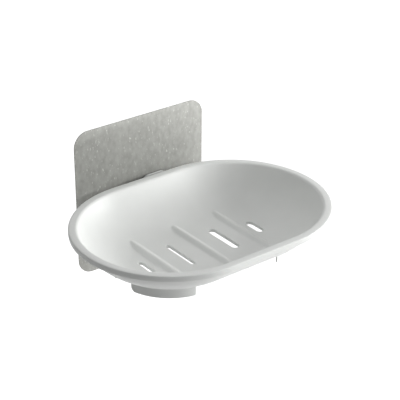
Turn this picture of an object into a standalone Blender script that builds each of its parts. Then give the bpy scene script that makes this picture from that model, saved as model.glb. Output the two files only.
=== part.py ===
"""Wall-hung soap dish: an oval plastic tray that hangs on a bracket stuck to a square plate on the wall.

Metres, +Z up, +X along the wall, +Y into the wall. The origin is the middle of the adhesive pad's
wall face, so the wall is the plane y = 0 and everything stands on its -Y side.
"""
import math

import bmesh
import bpy
from mathutils import Matrix, Vector

# Wall plate: adhesive pad and frosted face sheet
sheet_width = 0.0809
sheet_height = 0.0814
sheet_corner_radius = 0.0083
sheet_thickness = 0.0008
pad_inset = 0.0020
pad_thickness = 0.0010
bond_gap = 0.0003

# Hanger bracket: a tongue on the sheet, its top corners rounded, with a T-shaped rail in front
tongue_width = 0.0155
tongue_height = 0.034
tongue_thickness = 0.0013
tongue_corner_radius = 0.0040
tongue_edge_radius = 0.0004
rail_head_width = 0.012
rail_head_depth = 0.0030
rail_stem_width = 0.0060
rail_length = 0.0125
rail_lead_in = 0.0008
hanger_offset = 0.0077

# Tray: overall size and bowl
tray_length = 0.140
tray_width = 0.100
bowl_depth = 0.0191
floor_half_width = 0.0175
rim_width = 0.0047
rim_drop = 0.0005
rim_edge_radius = 0.0007
rim_inner_radius = 0.0010
lip_height = 0.0033
wall_thickness = 0.0019

# Tray: place of the rim against the plate and the bracket
rim_above_plate_middle = 0.0064
tongue_below_rim = 0.0003
tray_back_clearance = 0.0012

# Tray: ribs that keep the soap off the floor
rib_height = 0.0013
rib_length = 0.053
rib_base_width = 0.0056
rib_crest_radius = 0.0018
rib_spacing = 0.0266

# Tray: drain slots between and outside the ribs
inner_slot_from_middle = 0.0138
inner_slot_length = 0.0228
outer_slot_from_middle = 0.0346
outer_slot_length = 0.0122
left_slot_width = 0.0022
right_slot_width = 0.0040

# Tray: four curved feet
foot_outer_radius = 0.0289
foot_thickness = 0.0009
foot_first_angle = math.radians(12)
foot_last_angle = math.radians(79)
foot_below_floor = 0.0037

# Tray: socket that drops over the rail
slide_clearance = 0.0003
socket_back_thickness = 0.0018
socket_side_thickness = 0.0022
socket_front_thickness = 0.0018
socket_ceiling_below_rim = 0.0060
socket_height = 0.0100

# Smoothness of the round parts
end_steps = 24
bowl_steps = 14
edge_steps = 4
corner_steps = 8
bowl_sharp_degrees = 14

# Places that follow from the sizes above
sheet_front = -(pad_thickness + bond_gap + sheet_thickness)
tongue_back = sheet_front - bond_gap
tongue_front = tongue_back - tongue_thickness
tray_back = tongue_front - tray_back_clearance
tray_middle = Vector((0.0, tray_back - tray_width / 2, rim_above_plate_middle))
end_centre = (tray_length - tray_width) / 2
rim_top = rim_above_plate_middle


def remove_everything():
    for old in list(bpy.data.objects):
        bpy.data.objects.remove(old, do_unlink=True)


def material(name, colour, roughness, metallic=0.0):
    made = bpy.data.materials.new(name)
    made.use_nodes = True
    shader = made.node_tree.nodes["Principled BSDF"]
    shader.inputs["Base Color"].default_value = (*colour, 1.0)
    shader.inputs["Roughness"].default_value = roughness
    shader.inputs["Metallic"].default_value = metallic
    return made


def object_from(bm, name, origin):
    """An object with its own origin, from a shape drawn in the part's frame."""
    bmesh.ops.recalc_face_normals(bm, faces=bm.faces)
    mesh = bpy.data.meshes.new(name)
    bm.to_mesh(mesh)
    bm.free()
    mesh.transform(Matrix.Translation(-Vector(origin)))
    obj = bpy.data.objects.new(name, mesh)
    obj.location = origin
    bpy.context.collection.objects.link(obj)
    return obj


def shade(obj, sharp_degrees=30):
    obj.data.shade_smooth()
    obj.data.set_sharp_from_angle(angle=math.radians(sharp_degrees))


def cutter(bm, name, origin):
    obj = object_from(bm, name, origin)
    obj.hide_render = True
    obj.display_type = "WIRE"
    shade(obj)
    return obj


def boolean(obj, tool, operation):
    step = obj.modifiers.new(f"{operation.lower()} {tool.name}", "BOOLEAN")
    step.operation = operation
    step.solver = "EXACT"
    step.object = tool


def settle(obj, sharp_degrees=30):
    """Applies the object's modifiers, so that the cut edges are shaded like the rest."""
    state = bpy.context.evaluated_depsgraph_get()
    obj.data = bpy.data.meshes.new_from_object(obj.evaluated_get(state))
    obj.modifiers.clear()
    shade(obj, sharp_degrees)


def remove_cutters():
    for obj in list(bpy.data.objects):
        if obj.hide_render:
            bpy.data.objects.remove(obj, do_unlink=True)


def bevel(obj, width, segments=2):
    step = obj.modifiers.new("edge radius", "BEVEL")
    step.width = width
    step.segments = segments
    step.limit_method = "ANGLE"
    step.angle_limit = math.radians(40)


def arc(centre, radius, first, last, steps):
    """Points of a circular arc, from the first angle to the last."""
    angles = [first + (last - first) * i / steps for i in range(steps + 1)]
    return [(centre[0] + radius * math.cos(a), centre[1] + radius * math.sin(a)) for a in angles]


def extrude(outline, place, first, last):
    """A closed prism: the outline's points go through place at the first and at the last depth."""
    bm = bmesh.new()
    near = [bm.verts.new(place(u, v, first)) for u, v in outline]
    far = [bm.verts.new(place(u, v, last)) for u, v in outline]
    bm.faces.new(near)
    bm.faces.new(reversed(far))
    for i, vert in enumerate(near):
        j = (i + 1) % len(near)
        bm.faces.new((near[j], vert, far[i], far[j]))
    return bm


def block(x_range, y_range, z_range):
    bm = bmesh.new()
    bmesh.ops.create_cube(bm, size=1.0)
    for vert in bm.verts:
        vert.co.x = x_range[0] if vert.co.x < 0 else x_range[1]
        vert.co.y = y_range[0] if vert.co.y < 0 else y_range[1]
        vert.co.z = z_range[0] if vert.co.z < 0 else z_range[1]
    return bm


def facing_wall(u, v, depth):
    return (u, depth, v)


def rounded_rectangle(width, height, radius):
    corners = [(1, 1, 0), (-1, 1, 90), (-1, -1, 180), (1, -1, 270)]
    outline = []
    for sx, sz, start in corners:
        centre = (sx * (width / 2 - radius), sz * (height / 2 - radius))
        outline += arc(centre, radius, math.radians(start), math.radians(start + 90), corner_steps)
    return outline


def face_sheet():
    outline = rounded_rectangle(sheet_width, sheet_height, sheet_corner_radius)
    shape = extrude(outline, facing_wall, sheet_front, sheet_front + sheet_thickness)
    obj = object_from(shape, "face_sheet", (0.0, sheet_front, 0.0))
    obj.data.materials.append(material("frosted grey metal", (0.40, 0.40, 0.38), 0.45, 0.6))
    shade(obj)


def adhesive_pad():
    outline = rounded_rectangle(
        sheet_width - 2 * pad_inset, sheet_height - 2 * pad_inset, sheet_corner_radius - pad_inset
    )
    obj = object_from(extrude(outline, facing_wall, -pad_thickness, 0.0), "adhesive_pad", (0.0, 0.0, 0.0))
    obj.data.materials.append(material("translucent grey adhesive", (0.55, 0.55, 0.53), 0.6))
    shade(obj)


# Rail and socket share these places along Y and Z
socket_wall_front = tray_back - socket_back_thickness
rail_head_back = socket_wall_front - slide_clearance
rail_head_front = rail_head_back - rail_head_depth
rail_top = rim_top - socket_ceiling_below_rim - slide_clearance


def hanger_bracket():
    """Tongue with rounded top corners, and the T rail that the tray's socket drops over."""
    top = rim_top - tongue_below_rim
    bottom = top - tongue_height
    half = tongue_width / 2
    radius = tongue_corner_radius
    origin = (hanger_offset, tongue_back, rail_top)
    outline = arc((hanger_offset + half - radius, top - radius), radius, 0.0, math.pi / 2, corner_steps)
    outline += arc((hanger_offset - half + radius, top - radius), radius, math.pi / 2, math.pi, corner_steps)
    outline += [(hanger_offset - half, bottom), (hanger_offset + half, bottom)]
    obj = object_from(extrude(outline, facing_wall, tongue_front, tongue_back), "hanger_bracket", origin)
    obj.data.materials.append(material("light grey moulded plastic", (0.62, 0.62, 0.60), 0.45))
    bevel(obj, tongue_edge_radius)

    half_stem = rail_stem_width / 2
    stem = block(
        (hanger_offset - half_stem, hanger_offset + half_stem),
        (rail_head_front + rail_head_depth / 2, tongue_front + tongue_thickness / 2),
        (rail_top - rail_length, rail_top),
    )
    boolean(obj, cutter(stem, "rail stem", origin), "UNION")

    half_head = rail_head_width / 2
    head_outline = [
        (hanger_offset - half_head, rail_top - rail_length),
        (hanger_offset + half_head, rail_top - rail_length),
        (hanger_offset + half_head, rail_top - rail_lead_in),
        (hanger_offset + half_head - rail_lead_in, rail_top),
        (hanger_offset - half_head + rail_lead_in, rail_top),
        (hanger_offset - half_head, rail_top - rail_lead_in),
    ]
    head = extrude(head_outline, facing_wall, rail_head_front, rail_head_back)
    boolean(obj, cutter(head, "rail head", origin), "UNION")
    settle(obj)


def stadium_ring(bm, radius, z):
    """One level of the tray: two half circles about the end centres, joined by straight sides."""
    points = []
    for side in (1, -1):
        start = -math.pi / 2 if side == 1 else math.pi / 2
        points += arc((side * end_centre, 0.0), radius, start, start + math.pi, end_steps)
    return [bm.verts.new((x, y + tray_middle.y, z + rim_top)) for x, y in points]


def stadium_solid(profile):
    """A closed solid from (radius, height) points, run round the oval, with a flat top and bottom."""
    bm = bmesh.new()
    rings = [stadium_ring(bm, radius, z) for radius, z in profile]
    for low, high in zip(rings, rings[1:]):
        for i, vert in enumerate(low):
            j = (i + 1) % len(low)
            bm.faces.new((vert, low[j], high[j], high[i]))
    bm.faces.new(list(reversed(rings[0])))
    bm.faces.new(rings[-1])
    return bm


# The bowl's curve is one arc, tangent to the flat floor and ending at the rim's inner edge
half_width = tray_width / 2
rim_inner = half_width - rim_width
bowl_run = rim_inner - floor_half_width
bowl_rise = bowl_depth - rim_drop
bowl_radius = (bowl_run**2 + bowl_rise**2) / (2 * bowl_rise)
bowl_centre = (floor_half_width, bowl_radius - bowl_depth)
underside = -bowl_depth - wall_thickness


def bowl_arc(offset, top):
    """The bowl's curve moved outwards by the offset, from the floor up to the height top."""
    radius = bowl_radius + offset
    turn = math.acos((bowl_centre[1] - top) / radius)
    return arc(bowl_centre, radius, -math.pi / 2, turn - math.pi / 2, bowl_steps)


def outer_profile():
    points = bowl_arc(wall_thickness, -lip_height)
    points.append((half_width, -lip_height))
    points += arc(
        (half_width - rim_edge_radius, -rim_edge_radius), rim_edge_radius, 0.0, math.pi / 2, edge_steps
    )
    return points


def cavity_profile(offset=0.0):
    points = bowl_arc(offset, -rim_drop)
    points.append((rim_inner + offset + rim_inner_radius, 0.0))
    points.append((rim_inner + offset + rim_inner_radius, bowl_depth))
    return points


def rib_shape(x):
    """One rib: a ridge with a rounded crest and rounded ends, its foot sunk into the floor."""
    half_base = rib_base_width / 2
    crest_rise = rib_height - rib_crest_radius
    to_centre = math.atan2(crest_rise, half_base)
    flank_slope = to_centre + math.asin(rib_crest_radius / math.hypot(half_base, crest_rise))
    sections = [(half_base, -bowl_depth - wall_thickness / 2), (half_base, -bowl_depth)]
    for step in range(edge_steps + 1):
        slope = flank_slope * (1 - step / (edge_steps + 1))
        rise = crest_rise + rib_crest_radius * math.cos(slope)
        sections.append((rib_crest_radius * math.sin(slope), rise - bowl_depth))
    straight = rib_length / 2 - half_base

    bm = bmesh.new()
    rings = []
    for reach, z in sections:
        outline = arc((x, straight), reach, 0.0, math.pi, corner_steps)
        outline += arc((x, -straight), reach, math.pi, 2 * math.pi, corner_steps)
        rings.append([bm.verts.new((u, v + tray_middle.y, z + rim_top)) for u, v in outline])
    for low, high in zip(rings, rings[1:]):
        for i, vert in enumerate(low):
            j = (i + 1) % len(low)
            bm.faces.new((vert, low[j], high[j], high[i]))
    bm.faces.new(list(reversed(rings[0])))
    bm.faces.new(rings[-1])
    return bm


def slot_shape(x, length, width):
    """A slot with round ends, cut straight down through the floor."""
    radius = width / 2
    straight = length / 2 - radius
    outline = arc((x, straight), radius, 0.0, math.pi, corner_steps)
    outline += arc((x, -straight), radius, math.pi, 2 * math.pi, corner_steps)
    return extrude(
        outline,
        lambda u, v, depth: (u, v + tray_middle.y, depth + rim_top),
        underside - wall_thickness,
        -bowl_depth + rib_height,
    )


def foot_shape(side_x, side_y):
    """A curved wall under the bowl, part of a circle about the end centre."""
    start = foot_first_angle
    end = foot_last_angle
    outer = arc((0.0, 0.0), foot_outer_radius, start, end, corner_steps)
    inner = arc((0.0, 0.0), foot_outer_radius - foot_thickness, end, start, corner_steps)
    outline = [(side_x * (end_centre + u), side_y * v) for u, v in outer + inner]
    run = foot_outer_radius - foot_thickness / 2 - floor_half_width
    bowl_here = bowl_centre[1] - math.sqrt((bowl_radius + wall_thickness / 2) ** 2 - run**2)
    return extrude(
        outline,
        lambda u, v, depth: (u, v + tray_middle.y, depth + rim_top),
        underside - foot_below_floor,
        bowl_here,
    )


# The socket hangs under the rim's back: a box round the rail, held to the bowl by two webs
socket_front = rail_head_front - slide_clearance
socket_half_inside = rail_head_width / 2 + slide_clearance
socket_half_outside = socket_half_inside + socket_side_thickness
socket_ceiling = rim_top - socket_ceiling_below_rim
socket_bottom = socket_ceiling - socket_height


def socket_block():
    return block(
        (hanger_offset - socket_half_outside, hanger_offset + socket_half_outside),
        (socket_front - socket_front_thickness, tray_back),
        (socket_bottom, rim_top - lip_height / 2),
    )


def socket_web(side):
    """A web from the socket's side wall to the bowl; the bowl's cavity trims what reaches inside."""
    outside = hanger_offset + side * socket_half_outside
    inside = hanger_offset + side * socket_half_inside
    depth_at_bottom = bowl_centre[1] - (socket_bottom - rim_top)
    bowl_run_at_bottom = math.sqrt(bowl_radius**2 - depth_at_bottom**2)
    return block(
        (min(inside, outside), max(inside, outside)),
        (tray_middle.y + floor_half_width + bowl_run_at_bottom, socket_front),
        (socket_bottom, socket_ceiling),
    )


def socket_room():
    """The inside of the socket: room for the rail's head, open at the bottom."""
    return block(
        (hanger_offset - socket_half_inside, hanger_offset + socket_half_inside),
        (socket_front, socket_wall_front),
        (socket_bottom - socket_height, socket_ceiling),
    )


def socket_slit():
    """The slit in the socket's back wall that the rail's stem slides through."""
    half = rail_stem_width / 2 + slide_clearance
    return block(
        (hanger_offset - half, hanger_offset + half),
        (socket_wall_front - slide_clearance, tray_back + tray_back_clearance),
        (socket_bottom - socket_height, socket_ceiling),
    )


def soap_tray():
    """The tray, with its origin in the middle of the rim, on the line that it lifts along."""
    obj = object_from(stadium_solid(outer_profile()), "soap_tray", tray_middle)
    obj.data.materials.append(material("pale grey plastic", (0.78, 0.80, 0.79), 0.4))

    def change(shape, name, operation):
        tool = cutter(shape, name, tray_middle)
        boolean(obj, tool, operation)

    for side_x in (1, -1):
        for side_y in (1, -1):
            change(foot_shape(side_x, side_y), f"foot {side_x} {side_y}", "UNION")
    change(socket_block(), "socket block", "UNION")
    for side in (1, -1):
        change(socket_web(side), f"socket web {side}", "UNION")
    change(stadium_solid(cavity_profile()), "bowl cavity", "DIFFERENCE")
    change(socket_room(), "socket room", "DIFFERENCE")
    change(socket_slit(), "socket slit", "DIFFERENCE")

    rib_limit = cutter(stadium_solid(cavity_profile(wall_thickness / 2)), "rib limit", tray_middle)
    for x in (-rib_spacing, 0.0, rib_spacing):
        rib = cutter(rib_shape(x), f"rib at {x}", tray_middle)
        boolean(rib, rib_limit, "INTERSECT")
        boolean(obj, rib, "UNION")

    slots = [(inner_slot_from_middle, inner_slot_length), (outer_slot_from_middle, outer_slot_length)]
    for x, length in slots:
        for side, width in ((1, right_slot_width), (-1, left_slot_width)):
            change(slot_shape(side * x, length, width), f"drain slot at {side * x}", "DIFFERENCE")

    settle(obj, bowl_sharp_degrees)


remove_everything()
adhesive_pad()
face_sheet()
hanger_bracket()
soap_tray()
remove_cutters()
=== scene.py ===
import math

import bmesh
import bpy
from mathutils import Matrix, Vector


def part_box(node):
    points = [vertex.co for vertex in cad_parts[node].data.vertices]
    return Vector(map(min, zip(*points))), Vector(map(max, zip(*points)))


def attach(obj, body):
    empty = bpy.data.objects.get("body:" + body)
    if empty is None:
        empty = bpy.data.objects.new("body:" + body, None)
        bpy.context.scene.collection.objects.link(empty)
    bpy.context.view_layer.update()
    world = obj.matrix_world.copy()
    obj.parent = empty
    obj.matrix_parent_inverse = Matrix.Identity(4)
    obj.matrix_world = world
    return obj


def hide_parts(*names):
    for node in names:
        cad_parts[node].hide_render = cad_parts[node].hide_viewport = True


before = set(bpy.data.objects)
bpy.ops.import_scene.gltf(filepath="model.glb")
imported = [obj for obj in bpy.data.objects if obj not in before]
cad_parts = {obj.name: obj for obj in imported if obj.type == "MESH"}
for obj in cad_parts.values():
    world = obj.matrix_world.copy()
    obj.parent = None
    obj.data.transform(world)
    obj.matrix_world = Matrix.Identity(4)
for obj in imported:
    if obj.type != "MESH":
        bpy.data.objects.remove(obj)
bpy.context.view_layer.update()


# Adhesive pad
# A die-cut sheet of clear acrylic gel that bonds the wall plate to a smooth wall. Its wall face is
# glossy and a little uneven, with fine bubbles in the gel, and its edge is soft and slightly dull.
pad_low, pad_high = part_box("adhesive_pad")
pad_corner = 0.0063
pad_edge = 0.00022
pad_tint = (0.60, 0.61, 0.60)
pad_bubble_tint = (0.71, 0.72, 0.71)
pad_roughness = (0.18, 0.34)
bubble_size = 0.0011
bubble_relief = 0.00006
ripple_size = 0.009
ripple_relief = 0.0004
corner_steps = 12


def rounded_rectangle(width, height, radius, steps=corner_steps):
    """Points of a rectangle with round corners, as (across, up), going round once."""
    outline = []
    for side_u, side_v, start in ((1, 1, 0), (-1, 1, 90), (-1, -1, 180), (1, -1, 270)):
        centre_u = side_u * (width / 2 - radius)
        centre_v = side_v * (height / 2 - radius)
        for step in range(steps + 1):
            turn = math.radians(start + 90 * step / steps)
            outline.append((centre_u + radius * math.cos(turn), centre_v + radius * math.sin(turn)))
    return outline


def round_over(radius, steps=4):
    """How far an edge of that radius has come in and up at each step, from its side to its face."""
    turns = [math.pi / 2 * step / steps for step in range(steps + 1)]
    return [(radius * (1 - math.cos(turn)), radius * math.sin(turn)) for turn in turns]


def stacked(loops):
    """A closed body over loops of points that have equal counts, with the two end loops filled."""
    bm = bmesh.new()
    rings = [[bm.verts.new(point) for point in loop] for loop in loops]
    for low, high in zip(rings, rings[1:]):
        for i, vert in enumerate(low):
            j = (i + 1) % len(low)
            bm.faces.new((vert, low[j], high[j], high[i]))
    bm.faces.new(rings[0])
    bm.faces.new(rings[-1])
    bmesh.ops.recalc_face_normals(bm, faces=bm.faces)
    return bm


def shade(obj, sharp_degrees=35):
    """Smooth faces, with an edge kept sharp where they meet at more than that angle."""
    obj.data.shade_smooth()
    obj.data.set_sharp_from_angle(angle=math.radians(sharp_degrees))


def made_object(name, bm, finish=None):
    """An object in the scene from the body in the making, with its finish on it."""
    mesh = bpy.data.meshes.new(name)
    bm.to_mesh(mesh)
    bm.free()
    if finish:
        mesh.materials.append(finish)
    obj = bpy.data.objects.new(name, mesh)
    bpy.context.scene.collection.objects.link(obj)
    shade(obj)
    return obj


def die_cut_sheet(low, high, corner, back_edge, front_edge):
    """A sheet that stands against the wall, with its back and front edges rounded over."""
    middle = (low + high) / 2
    width, height = high.x - low.x, high.z - low.z
    levels = [(inset, high.y - back_edge + up) for inset, up in reversed(round_over(back_edge))]
    levels += [(inset, low.y + front_edge - up) for inset, up in round_over(front_edge)]
    loops = []
    for inset, depth in levels:
        outline = rounded_rectangle(width - 2 * inset, height - 2 * inset, corner - inset)
        loops.append([(middle.x + u, depth, middle.z + v) for u, v in outline])
    return stacked(loops)


class Finish:
    """A surface finish in the making: its shader, and patterns laid out in metres on the piece."""

    # Most of a cloudy pattern lies between the first two values, and its flecks show above the third
    cloud_low, cloud_high = 0.3, 0.7
    fleck_level, fleck_edge = 0.68, 0.08

    def __init__(self, name, roughness=0.5, metallic=0.0, gloss=0.5):
        self.material = bpy.data.materials.new(name)
        self.material.use_nodes = True
        self.nodes = self.material.node_tree.nodes
        self.links = self.material.node_tree.links
        self.shader = self.nodes["Principled BSDF"]
        self.shader.inputs["Roughness"].default_value = roughness
        self.shader.inputs["Metallic"].default_value = metallic
        self.shader.inputs["Specular IOR Level"].default_value = gloss
        self.place = self.nodes.new("ShaderNodeTexCoord").outputs["Object"]

    def mottle(self, size, detail=3.0, stretch=(1.0, 1.0, 1.0)):
        """A cloudy pattern whose blotches are about that size, drawn out by the stretch."""
        spread = self.nodes.new("ShaderNodeMapping")
        spread.inputs["Scale"].default_value = [1.0 / (size * share) for share in stretch]
        self.links.new(self.place, spread.inputs["Vector"])
        cloud = self.nodes.new("ShaderNodeTexNoise")
        cloud.inputs["Scale"].default_value = 1.0
        cloud.inputs["Detail"].default_value = detail
        self.links.new(spread.outputs["Vector"], cloud.inputs["Vector"])
        return cloud.outputs["Fac"]

    def tint(self, pattern, dark, light):
        """The colour goes from dark to light with the pattern."""
        ramp = self.nodes.new("ShaderNodeValToRGB")
        ends = (self.cloud_low, dark), (self.cloud_high, light)
        for element, (place, colour) in zip(ramp.color_ramp.elements, ends):
            element.position = place
            element.color = (*colour, 1.0)
        self.links.new(pattern, ramp.inputs["Fac"])
        self.links.new(ramp.outputs["Color"], self.shader.inputs["Base Color"])

    def flecks(self, pattern, colour):
        """Where the pattern rises above the fleck level, the colour gives way to this one."""
        edge = self.nodes.new("ShaderNodeMapRange")
        edge.inputs["From Min"].default_value = self.fleck_level
        edge.inputs["From Max"].default_value = self.fleck_level + self.fleck_edge
        self.links.new(pattern, edge.inputs["Value"])
        mix = self.nodes.new("ShaderNodeMixRGB")
        mix.inputs["Color2"].default_value = (*colour, 1.0)
        self.links.new(edge.outputs["Result"], mix.inputs["Fac"])
        for before in self.shader.inputs["Base Color"].links:
            self.links.new(before.from_socket, mix.inputs["Color1"])
        self.links.new(mix.outputs["Color"], self.shader.inputs["Base Color"])

    def uneven_roughness(self, pattern, low, high):
        """The roughness goes from low to high with the pattern."""
        spread = self.nodes.new("ShaderNodeMapRange")
        spread.inputs["From Min"].default_value = self.cloud_low
        spread.inputs["From Max"].default_value = self.cloud_high
        spread.inputs["To Min"].default_value = low
        spread.inputs["To Max"].default_value = high
        self.links.new(pattern, spread.inputs["Value"])
        self.links.new(spread.outputs["Result"], self.shader.inputs["Roughness"])

    def relief(self, pattern, height):
        """Bumps of about that height, laid over any that the finish already has."""
        bump = self.nodes.new("ShaderNodeBump")
        bump.inputs["Distance"].default_value = height
        self.links.new(pattern, bump.inputs["Height"])
        for before in self.shader.inputs["Normal"].links:
            self.links.new(before.from_socket, bump.inputs["Normal"])
        self.links.new(bump.outputs["Normal"], self.shader.inputs["Normal"])


gel = Finish("clear acrylic gel")
gel.tint(gel.mottle(bubble_size, detail=2.0), pad_tint, pad_bubble_tint)
gel.uneven_roughness(gel.mottle(ripple_size), *pad_roughness)
gel.relief(gel.mottle(ripple_size, detail=2.0), ripple_relief)
gel.relief(gel.mottle(bubble_size, detail=1.0), bubble_relief)

pad = made_object("gel_pad", die_cut_sheet(pad_low, pad_high, pad_corner, pad_edge, pad_edge), gel.material)
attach(pad, "wall_mount")
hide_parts("adhesive_pad")


# Face sheet
# The square plate that shows on the wall: thin sheet metal with a frosted, faintly mottled face.
# It is stamped with a slightly rolled front edge and bonded to the gel pad behind it.
sheet_low, sheet_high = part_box("face_sheet")
sheet_corner = 0.0083
sheet_front_roll = 0.00012
sheet_back_edge = 0.00015
frost_dark = (0.289, 0.290, 0.272)
frost_light = (0.357, 0.360, 0.339)
pit_colour = (0.30, 0.30, 0.28)
scuff_colour = (0.56, 0.565, 0.535)
frost_roughness = (0.42, 0.56)
frost_blotch = 0.0028
blotch_stretch = (0.8, 1.0, 1.3)
frost_grain = 0.0005
frost_grain_relief = 0.00002
pit_size = 0.0009
scuff_size = 0.0013
scuff_stretch = (0.6, 1.0, 1.8)

frost = Finish("frosted metal", metallic=0.6)
frost.tint(frost.mottle(frost_blotch, detail=6.0, stretch=blotch_stretch), frost_dark, frost_light)
frost.flecks(frost.mottle(pit_size, detail=1.0), pit_colour)
frost.flecks(frost.mottle(scuff_size, detail=1.0, stretch=scuff_stretch), scuff_colour)
frost.uneven_roughness(frost.mottle(frost_blotch, detail=4.0), *frost_roughness)
frost.relief(frost.mottle(frost_grain, detail=2.0), frost_grain_relief)

sheet = made_object(
    "frosted_face",
    die_cut_sheet(sheet_low, sheet_high, sheet_corner, sheet_back_edge, sheet_front_roll),
    frost.material,
)
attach(sheet, "wall_mount")
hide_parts("face_sheet")


# Hanger bracket
# A light grey plastic moulding glued to the sheet: a tongue with rounded top corners, which shows
# behind the tray's rim, and in front of it a T-shaped rail with a narrowed top for the tray.
bracket_low, bracket_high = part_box("hanger_bracket")
bracket_middle = (bracket_low.x + bracket_high.x) / 2
tongue_thickness = 0.0013
tongue_front = bracket_high.y - tongue_thickness
tongue_edge = 0.0004
tongue_corner = 0.0040
tongue_foot_corner = 0.0015
rail_head_width = 0.012
rail_head_depth = 0.0030
rail_stem_width = 0.0060
rail_top = 0.0001
rail_length = 0.0125
rail_lead_in = 0.0008
bracket_dark = (0.60, 0.61, 0.60)
bracket_light = (0.66, 0.67, 0.66)
bracket_roughness = (0.40, 0.52)
bracket_tone_size = 0.006
bracket_sheen_size = 0.003
bracket_grain = 0.0003
bracket_grain_relief = 0.00001


def tongue():
    """The upright plate, with large top corners, small foot corners and both faces eased."""
    middle_z = (bracket_low.z + bracket_high.z) / 2
    width, height = bracket_high.x - bracket_low.x, bracket_high.z - bracket_low.z
    eased = round_over(tongue_edge)
    levels = [(inset, bracket_high.y - tongue_edge + up) for inset, up in reversed(eased)]
    levels += [(inset, tongue_front + tongue_edge - up) for inset, up in eased]
    upper_half = 2 * (corner_steps + 1)
    loops = []
    for inset, depth in levels:
        size = width - 2 * inset, height - 2 * inset
        top = rounded_rectangle(*size, tongue_corner - inset)[:upper_half]
        foot = rounded_rectangle(*size, tongue_foot_corner - inset)[upper_half:]
        loops.append([(bracket_middle + u, depth, middle_z + v) for u, v in top + foot])
    return stacked(loops)


def rail():
    """The T of the rail seen from above, run up from its foot to a narrowed top.

    Its stem starts inside the tongue, so that the two join.
    """
    stem_start = tongue_front + tongue_edge * 2
    head_back = bracket_low.y + rail_head_depth
    levels = [(rail_lead_in / 2, -rail_length), (0.0, rail_lead_in / 2 - rail_length)]
    levels += [(0.0, -rail_lead_in), (rail_lead_in, 0.0)]
    loops = []
    for inset, rise in levels:
        half_head = rail_head_width / 2 - inset
        half_stem = rail_stem_width / 2 - inset / 2
        front = bracket_low.y + inset / 2
        side = [(half_stem, stem_start), (half_stem, head_back), (half_head, head_back), (half_head, front)]
        outline = side + [(-u, depth) for u, depth in reversed(side)]
        loops.append([(bracket_middle + u, depth, rail_top + rise) for u, depth in outline])
    return stacked(loops)


def combine(obj, tools, operation):
    """Adds the tools to the object or cuts them out of it, and shades the result."""
    for number, bm in enumerate(tools):
        tool = made_object(f"tool {number}", bm)
        step = obj.modifiers.new("step", "BOOLEAN")
        step.solver = "MANIFOLD"
        step.operation = operation
        step.object = tool
        state = bpy.context.evaluated_depsgraph_get()
        obj.data = bpy.data.meshes.new_from_object(obj.evaluated_get(state))
        obj.modifiers.clear()
        bpy.data.objects.remove(tool, do_unlink=True)
    shade(obj)


plastic = Finish("light grey plastic")
plastic.tint(plastic.mottle(bracket_tone_size), bracket_dark, bracket_light)
plastic.uneven_roughness(plastic.mottle(bracket_sheen_size), *bracket_roughness)
plastic.relief(plastic.mottle(bracket_grain, detail=2.0), bracket_grain_relief)

bracket = made_object("hanger", tongue(), plastic.material)
combine(bracket, [rail()], "UNION")
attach(bracket, "wall_mount")
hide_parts("hanger_bracket")


# Soap tray
# One injection moulding in pale grey plastic: an oval bowl with a rolled rim and a short lip, three
# ribs that keep the soap off the floor, four drain slots, four curved feet and the socket behind.
tray_low, tray_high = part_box("soap_tray")
tray_middle = (tray_low + tray_high) / 2
half_width = (tray_high.y - tray_low.y) / 2
half_straight = (tray_high.x - tray_low.x) / 2 - half_width
rim_top = tray_high.z
bowl_depth = 0.0191
floor_half_width = 0.0175
wall_thickness = 0.0019
rim_width = 0.0047
rim_drop = 0.0005
rim_roll = 0.0007
inner_roll = 0.0018
lip_height = 0.0033
lip_lower_edge = 0.0008

# The bowl's curve is one arc, tangent to the flat floor and ending at the rim's inner edge
rim_inner = half_width - rim_width
bowl_run = rim_inner - floor_half_width
bowl_rise = bowl_depth - rim_drop
bowl_radius = (bowl_run**2 + bowl_rise**2) / (2 * bowl_rise)
bowl_centre = rim_top - bowl_depth + bowl_radius

rib_height = 0.0013
rib_half_length = 0.0265
rib_half_base = 0.0028
rib_crest_radius = 0.0018
rib_fillet = 0.0003
rib_places = (-0.0266, 0.0, 0.0266)


def from_spine(x, y):
    """Distance from the line down the middle of the oval, between the centres of its round ends."""
    return math.hypot(max(abs(x - tray_middle.x) - half_straight, 0.0), y - tray_middle.y)


def bowl_height(distance, wall=0.0):
    """Height of the bowl's inner face at a distance from the spine, or of a face further out."""
    run = max(distance - floor_half_width, 0.0)
    return bowl_centre - math.sqrt((bowl_radius + wall) ** 2 - run**2)


def rib_surface(x, y):
    """Height of the nearest rib's round crest and its flanks, which fall away below the floor."""
    past_end = max(abs(y - tray_middle.y) - (rib_half_length - rib_half_base), 0.0)
    across = math.hypot(min(abs(x - place) for place in rib_places), past_end)
    crest_centre = rim_top - bowl_depth + rib_height - rib_crest_radius
    crest_rise = rib_height - rib_crest_radius
    flank = math.atan2(crest_rise, rib_half_base)
    flank += math.asin(rib_crest_radius / math.hypot(rib_half_base, crest_rise))
    turn_off = rib_crest_radius * math.sin(flank)
    if across < turn_off:
        return crest_centre + math.sqrt(rib_crest_radius**2 - across**2)
    return crest_centre + rib_crest_radius * math.cos(flank) - (across - turn_off) * math.tan(flank)


def inner_height(x, y):
    """Height of the bowl's inner face, with the ribs running into it over a small fillet."""
    bowl = bowl_height(from_spine(x, y))
    rib = rib_surface(x, y)
    overlap = max(rib_fillet - abs(bowl - rib), 0.0)
    return max(bowl, rib) + overlap**2 / (4 * rib_fillet)


def outer_height(x, y):
    """Height of the bowl's outer face."""
    return bowl_height(from_spine(x, y), wall_thickness)


# The mesh of the bowl: steps along the oval's straight sides and round its ends, and a block of small
# squares in the middle whose border has as many points as the oval
straight_steps = 58
end_steps = 210
block_columns = 160
block_rows = straight_steps + end_steps - block_columns
block_half_length = 0.03325
block_half_width = 0.0255


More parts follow.
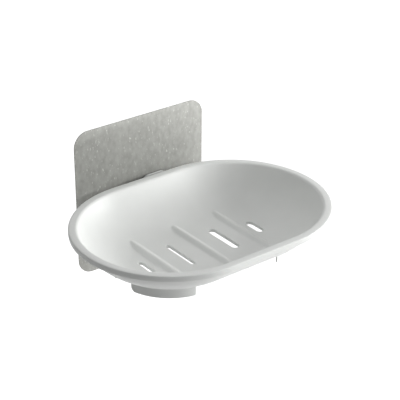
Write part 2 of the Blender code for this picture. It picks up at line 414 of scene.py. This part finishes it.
def oval(distance):
    """Points at a distance from the spine: along the front, round the right end, back and left end."""
    points = []
    for side in (1, -1):
        for step in range(straight_steps):
            along = side * half_straight * (2 * step / straight_steps - 1)
            points.append((tray_middle.x + along, tray_middle.y - side * distance))
        for step in range(end_steps):
            turn = math.pi * (step / end_steps - 0.5)
            along = side * (half_straight + distance * math.cos(turn))
            points.append((tray_middle.x + along, tray_middle.y + side * distance * math.sin(turn)))
    return points


def bridge(bm, ring, further):
    """Faces from one closed ring of vertices to the next."""
    for i, vert in enumerate(ring):
        j = (i + 1) % len(ring)
        bm.faces.new((vert, ring[j], further[j], further[i]))


def bowl_face(bm, edge, ring_count=40):
    """The bowl's inner face: a block of squares over the ribs and slots, and rings from it to the edge.

    Gives back the vertices along the edge, in the order of the oval.
    """
    rows = []
    for row in range(block_rows + 1):
        y = tray_middle.y + block_half_width * (2 * row / block_rows - 1)
        places = [block_half_length * (2 * i / block_columns - 1) for i in range(block_columns + 1)]
        rows.append([bm.verts.new((tray_middle.x + x, y, inner_height(x, y))) for x in places])
    for near, far in zip(rows, rows[1:]):
        for i in range(block_columns):
            bm.faces.new((near[i], near[i + 1], far[i + 1], far[i]))
    border = rows[0][:-1] + [row[-1] for row in rows[:-1]]
    border += rows[-1][:0:-1] + [row[0] for row in rows[:0:-1]]

    first = (straight_steps - block_columns) // 2
    edge_points = oval(edge)
    ends = [edge_points[(i + first) % len(border)] for i in range(len(border))]
    ring = border
    for number in range(1, ring_count + 1):
        share = number / ring_count
        further = []
        for start, (end_x, end_y) in zip(border, ends):
            x = start.co.x + (end_x - start.co.x) * share
            y = start.co.y + (end_y - start.co.y) * share
            further.append(bm.verts.new((x, y, inner_height(x, y))))
        bridge(bm, ring, further)
        ring = further
    return [ring[(i - first) % len(ring)] for i in range(len(ring))]


inner_roll_steps = 7
rim_roll_steps = 6
lip_edge_steps = 3


def rim_profile():
    """The inner roll, the flat top, the outer roll and the lip, as (distance, height) points."""
    rise = bowl_centre - rim_top + inner_roll
    reach = math.sqrt((bowl_radius + inner_roll) ** 2 - rise**2)
    roll_centre = floor_half_width + reach
    slope = math.atan2(reach, rise)
    points = []
    for step in range(inner_roll_steps + 1):
        turn = slope * (1 - step / inner_roll_steps)
        height = rim_top - inner_roll * (1 - math.cos(turn))
        points.append((roll_centre - inner_roll * math.sin(turn), height))
    for inset, up in reversed(round_over(rim_roll, rim_roll_steps)):
        points.append((half_width - inset, rim_top - rim_roll + up))
    for inset, up in round_over(lip_lower_edge, lip_edge_steps):
        points.append((half_width - inset, rim_top - lip_height + lip_lower_edge - up))
    return points


def wall_profile(step_count=40):
    """The outside of the bowl, from under the lip down to the edge of the flat floor."""
    outer = bowl_radius + wall_thickness
    start = math.acos((bowl_centre - rim_top + lip_height) / outer)
    points = []
    for step in range(step_count + 1):
        turn = start * (1 - step / step_count)
        points.append((floor_half_width + outer * math.sin(turn), bowl_centre - outer * math.cos(turn)))
    return points


def bowl_shell():
    """The bowl, rim and lip as one closed body, from the inner face over the rim to the flat floor."""
    bm = bmesh.new()
    profile = rim_profile()
    ring = bowl_face(bm, profile[0][0])
    for distance, height in profile[1:] + wall_profile():
        further = [bm.verts.new((x, y, height)) for x, y in oval(distance)]
        bridge(bm, ring, further)
        ring = further
    bm.faces.new(ring)
    bmesh.ops.recalc_face_normals(bm, faces=bm.faces)
    return bm


foot_thickness = 0.0009
foot_outer_radius = 0.0289
foot_radius = foot_outer_radius - foot_thickness / 2
foot_first_angle = math.radians(12)
foot_last_angle = math.radians(79)
foot_edge = 0.0002
foot_fillet = 0.0015
foot_outer_corner = 0.0028
foot_inner_corner = 0.0008
foot_bottom = tray_low.z
foot_side_steps = 40
foot_edge_steps = 4

# Levels up the foot's rounded lower corners, as shares of the larger one, and the turns of the fillet
# in degrees, where the foot swells into the bowl
foot_corner_levels = (0.0, 0.015, 0.05, 0.1, 0.18, 0.3, 0.45, 0.65, 1.0)
foot_fillet_turns = (0, 20, 40, 60, 75)


def foot(side_x, side_y):
    """A curved wall under the bowl, bent round the oval's end centre, with a fillet where it joins."""
    length = foot_radius * (foot_last_angle - foot_first_angle)
    middle_angle = (foot_first_angle + foot_last_angle) / 2

    def outline(inset, outer_end=0.0, inner_end=0.0):
        """The foot seen from above and unbent, with its two long sides cut into small steps.

        Its upright corners grow rounder as it swells.
        """
        edge = foot_edge * 1.5 - inset * 0.5
        run = length - 2 * inset - outer_end - inner_end
        shift = (outer_end - inner_end) / 2
        corners = rounded_rectangle(run, foot_thickness - 2 * inset, edge, foot_edge_steps)
        corners = [(u + shift, v) for u, v in corners]
        long_sides = foot_edge_steps, 3 * foot_edge_steps + 2
        points = []
        for i, (u, v) in enumerate(corners):
            next_u, next_v = corners[(i + 1) % len(corners)]
            pieces = foot_side_steps if i in long_sides else 1
            for piece in range(pieces):
                share = piece / pieces
                points.append((u + (next_u - u) * share, v + (next_v - v) * share))
        return points

    def placed(points):
        """The points bent round the oval's end centre and put at this foot's corner of the tray."""
        bent = []
        for u, v in points:
            angle = middle_angle + u / foot_radius
            across = half_straight + (foot_radius + v) * math.cos(angle)
            deep = (foot_radius + v) * math.sin(angle)
            bent.append((tray_middle.x + side_x * across, tray_middle.y + side_y * deep))
        return bent

    def rounding(radius, height):
        """How far an edge of that radius has come in at a height above the foot's bottom."""
        below = max(radius - height, 0.0)
        return radius - math.sqrt(radius**2 - below**2)

    loops = []
    for share in foot_corner_levels:
        height = foot_outer_corner * share
        ends = rounding(foot_outer_corner, height), rounding(foot_inner_corner, height)
        level = placed(outline(rounding(foot_edge, height), *ends))
        loops.append([(x, y, foot_bottom + height) for x, y in level])
    for turn in foot_fillet_turns:
        swell = foot_fillet * (1 - math.cos(math.radians(turn)))
        below = foot_fillet * (1 - math.sin(math.radians(turn)))
        loops.append([(x, y, outer_height(x, y) - below) for x, y in placed(outline(-swell))])
    sunk = wall_thickness / 2
    loops.append([(x, y, outer_height(x, y) + sunk) for x, y in placed(outline(-swell))])
    return stacked(loops)


# Each slot's place along the tray, its length and its width. The left pair is the narrower one
slots = (
    (-0.0346, 0.0122, 0.0022),
    (-0.0138, 0.0228, 0.0022),
    (0.0138, 0.0228, 0.0040),
    (0.0346, 0.0122, 0.0040),
)
slot_edge = 0.00045
slot_edge_turns = (75, 60, 45, 30, 15, 0)
slot_cut_reach = 0.0030
slot_end_steps = 12
slot_side_steps = 24


def slot_cutter(place, length, width):
    """The space of a drain slot, widened at the floor and below it so that its edges are rounded."""

    def outline(spread):
        """The slot seen from above, spread outwards by that much."""
        radius = width / 2 + spread
        straight = length / 2 - width / 2
        points = []
        for side in (1, -1):
            for step in range(slot_end_steps + 1):
                turn = math.pi * step / slot_end_steps
                points.append((side * radius * math.cos(turn), side * (straight + radius * math.sin(turn))))
            for step in range(1, slot_side_steps):
                points.append((-side * radius, side * straight * (1 - 2 * step / slot_side_steps)))
        return [(tray_middle.x + place + u, tray_middle.y + v) for u, v in points]

    def flare(turn):
        """The spread and the depth below the face at a turn of the rounded edge."""
        return slot_edge * (1 - math.cos(turn)), slot_edge * (1 - math.sin(turn))

    # Clear of both faces the cutter is wider than the rounded edges
    turns = [math.radians(angle) for angle in slot_edge_turns]
    mouth = outline(slot_edge * 2)
    clear_of_face = slot_cut_reach, slot_edge / 3
    loops = [[(x, y, inner_height(x, y) + rise) for x, y in mouth] for rise in clear_of_face]
    for turn in turns:
        spread, depth = flare(turn)
        loops.append([(x, y, inner_height(x, y) - depth) for x, y in outline(spread)])
    for turn in reversed(turns):
        spread, depth = flare(turn)
        loops.append([(x, y, outer_height(x, y) + depth) for x, y in outline(spread)])
    loops += [[(x, y, outer_height(x, y) - drop) for x, y in mouth] for drop in reversed(clear_of_face)]
    return stacked(loops)


slide_clearance = 0.0003
socket_back_thickness = 0.0018
socket_side_thickness = 0.0022
socket_front_thickness = 0.0018
socket_height = 0.0100
socket_ceiling = rail_top + slide_clearance
socket_bottom = socket_ceiling - socket_height
socket_wall_front = tray_high.y - socket_back_thickness
socket_front = bracket_low.y - slide_clearance
socket_half_inside = rail_head_width / 2 + slide_clearance
socket_half_outside = socket_half_inside + socket_side_thickness
socket_eased_edge = 0.0003
socket_curve_steps = 6
socket_slit_overrun = 0.001


def wall_middle(y):
    """Height of the middle of the bowl's wall where the tray is straight."""
    return bowl_height(abs(y - tray_middle.y), wall_thickness / 2)


def upright_slab(side_outline, left, right, edge):
    """A slab between two places along X, from its outline as (y, z) points, with its edges eased."""
    bm = stacked([[(x, y, z) for y, z in side_outline] for x in (left, right)])
    bmesh.ops.bevel(bm, geom=bm.edges[:], offset=edge, segments=3, affect="EDGES", profile=0.5)
    return bm


def bowl_line(start, end):
    """Evenly spaced depths from one place to another, for an outline that follows the bowl's wall."""
    return [start + (end - start) * i / socket_curve_steps for i in range(socket_curve_steps + 1)]


def socket_block():
    """The solid behind the bowl that the socket is cut from, up to the middle of the bowl's wall."""
    front = socket_front - socket_front_thickness
    top = rim_top - lip_height / 2
    outline = [(tray_high.y, socket_bottom), (front, socket_bottom)]
    outline += [(y, min(wall_middle(y), top)) for y in bowl_line(front, socket_wall_front)]
    outline += [(tray_high.y, top)]
    left, right = bracket_middle - socket_half_outside, bracket_middle + socket_half_outside
    return upright_slab(outline, left, right, socket_eased_edge)


def socket_web(side):
    """A web from the side of the socket forward to the bowl."""
    reach = math.sqrt((bowl_radius + wall_thickness / 2) ** 2 - (bowl_centre - socket_bottom) ** 2)
    meets = tray_middle.y + floor_half_width + reach
    outline = [(socket_front, socket_bottom)]
    outline += [(y, wall_middle(y)) for y in bowl_line(meets, socket_front)]
    places = sorted(bracket_middle + side * half for half in (socket_half_inside, socket_half_outside))
    return stacked([[(x, y, z) for y, z in outline] for x in places])


def upright_block(x_range, y_range, z_range):
    """A plain space to cut away, between two places each way."""
    (left, right), (front, back) = x_range, y_range
    corners = ((left, front), (right, front), (right, back), (left, back))
    return stacked([[(x, y, z) for x, y in corners] for z in z_range])


def socket_spaces():
    """The room for the rail's head, open below, and the slit behind it for the rail's stem."""
    below = socket_bottom - socket_height
    half_slit = rail_stem_width / 2 + slide_clearance
    room = upright_block(
        (bracket_middle - socket_half_inside, bracket_middle + socket_half_inside),
        (socket_front, socket_wall_front),
        (below, socket_ceiling),
    )
    slit = upright_block(
        (bracket_middle - half_slit, bracket_middle + half_slit),
        (socket_wall_front - slide_clearance, tray_high.y + socket_slit_overrun),
        (below, socket_ceiling),
    )
    return [room, slit]


tray_dark = (0.817, 0.831, 0.813)
tray_light = (0.852, 0.866, 0.848)
tray_roughness = (0.36, 0.48)
tray_tone_size = 0.02
tray_sheen_size = 0.004
tray_grain = 0.00035
tray_grain_relief = 0.000008

satin = Finish("pale grey satin plastic", gloss=0.25)
satin.tint(satin.mottle(tray_tone_size, detail=4.0), tray_dark, tray_light)
satin.uneven_roughness(satin.mottle(tray_sheen_size), *tray_roughness)
satin.relief(satin.mottle(tray_grain, detail=2.0), tray_grain_relief)

tray = made_object("tray_moulding", bowl_shell(), satin.material)
feet = [foot(side_x, side_y) for side_x in (1, -1) for side_y in (1, -1)]
combine(tray, feet + [socket_block(), socket_web(1), socket_web(-1)], "UNION")
combine(tray, socket_spaces() + [slot_cutter(*slot) for slot in slots], "DIFFERENCE")
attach(tray, "tray")
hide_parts("soap_tray")


# Studio
# A pale floor well below the dish and an even white surround. One soft lamp low on the right does most
# of the work, and weak ones in front, overhead and behind open up its shadows.
floor_drop = 0.27
floor_size = 6.0
floor_dark = (0.70, 0.70, 0.70)
floor_light = (0.74, 0.74, 0.74)
floor_tone_size = 0.3
floor_glow = 0.89
surround_light = 0.22
lamp_distance = 0.60


def seen_share(nodes, links):
    """1 where the camera sees this, straight or by reflection or through glass, and 0 for its light."""
    path = nodes.new("ShaderNodeLightPath")
    seen = path.outputs["Is Camera Ray"]
    for way in ("Is Glossy Ray", "Is Transmission Ray"):
        either = nodes.new("ShaderNodeMath")
        either.operation = "MAXIMUM"
        links.new(seen, either.inputs[0])
        links.new(path.outputs[way], either.inputs[1])
        seen = either.outputs[0]
    return seen


studio = bpy.data.worlds.new("studio")
bpy.context.scene.world = studio
studio.use_nodes = True
world_nodes, world_links = studio.node_tree.nodes, studio.node_tree.links
background = world_nodes["Background"]
background.inputs["Color"].default_value = (1.0, 1.0, 1.0, 1.0)

# The surround is white where it is seen, and gives the object a weaker light
level = world_nodes.new("ShaderNodeMapRange")
level.inputs["To Min"].default_value = surround_light
level.inputs["To Max"].default_value = 1.0
world_links.new(seen_share(world_nodes, world_links), level.inputs["Value"])
world_links.new(level.outputs["Result"], background.inputs["Strength"])

floor_mesh = bmesh.new()
bmesh.ops.create_grid(floor_mesh, x_segments=1, y_segments=1, size=floor_size / 2)
pale = Finish("pale studio floor", roughness=0.8)
pale.tint(pale.mottle(floor_tone_size), floor_dark, floor_light)
floor = made_object("studio_floor", floor_mesh, pale.material)
floor.location = (0.0, 0.0, -floor_drop)

# Where the floor is seen, a glow on top of its own shade brings it up to white
lit = pale.nodes.new("ShaderNodeEmission")
lit.inputs["Strength"].default_value = floor_glow
added = pale.nodes.new("ShaderNodeAddShader")
both = pale.nodes.new("ShaderNodeMixShader")
surface = pale.nodes["Material Output"].inputs["Surface"]
pale.links.new(pale.shader.outputs["BSDF"], added.inputs[0])
pale.links.new(lit.outputs["Emission"], added.inputs[1])
pale.links.new(seen_share(pale.nodes, pale.links), both.inputs["Fac"])
pale.links.new(pale.shader.outputs["BSDF"], both.inputs[1])
pale.links.new(added.outputs["Shader"], both.inputs[2])
pale.links.new(both.outputs["Shader"], surface)


def soft_lamp(name, turn, rise, size, power):
    """A square lamp aimed at the tray, of that size in metres and that power in watts.

    It stands at a turn from +X round to the front and at a rise above the rim, both in degrees.
    """
    turn, rise = math.radians(turn), math.radians(rise)
    towards = Vector((math.cos(turn) * math.cos(rise), -math.sin(turn) * math.cos(rise), math.sin(rise)))
    lamp = bpy.data.lights.new(name, "AREA")
    lamp.shape = "SQUARE"
    lamp.size = size
    lamp.energy = power
    stand = bpy.data.objects.new(name, lamp)
    stand.location = Vector((tray_middle.x, tray_middle.y, rim_top)) + towards * lamp_distance
    stand.rotation_euler = towards.to_track_quat("Z", "Y").to_euler()
    bpy.context.scene.collection.objects.link(stand)


soft_lamp("key lamp", 30, 12, 0.25, 3.20)
soft_lamp("front lamp", 60, 5, 0.25, 0.90)
soft_lamp("overhead lamp", 0, 90, 0.40, 0.66)
soft_lamp("back right lamp", -45, 35, 0.40, 0.28)
soft_lamp("back lamp", -90, 50, 0.40, 0.20)

# The camera stands off to the left and looks down over the tray's front edge
camera_place = Vector((-0.34277, -0.49270, 0.30264))
camera_turn = math.radians(37.927)
camera_tilt = math.radians(27.468)
camera_roll = math.radians(0.401)
camera_focal_length = 113.685
camera_film_width = 36.0
lens = bpy.data.cameras.new("camera")
lens.lens = camera_focal_length
lens.sensor_width = camera_film_width
camera = bpy.data.objects.new("camera", lens)
bpy.context.scene.collection.objects.link(camera)
camera.matrix_world = (
    Matrix.Translation(camera_place)
    @ Matrix.Rotation(-camera_turn, 4, "Z")
    @ Matrix.Rotation(math.pi / 2 - camera_tilt, 4, "X")
    @ Matrix.Rotation(camera_roll, 4, "Z")
)
bpy.context.scene.camera = camera
bpy.context.scene.view_settings.view_transform = "Standard"
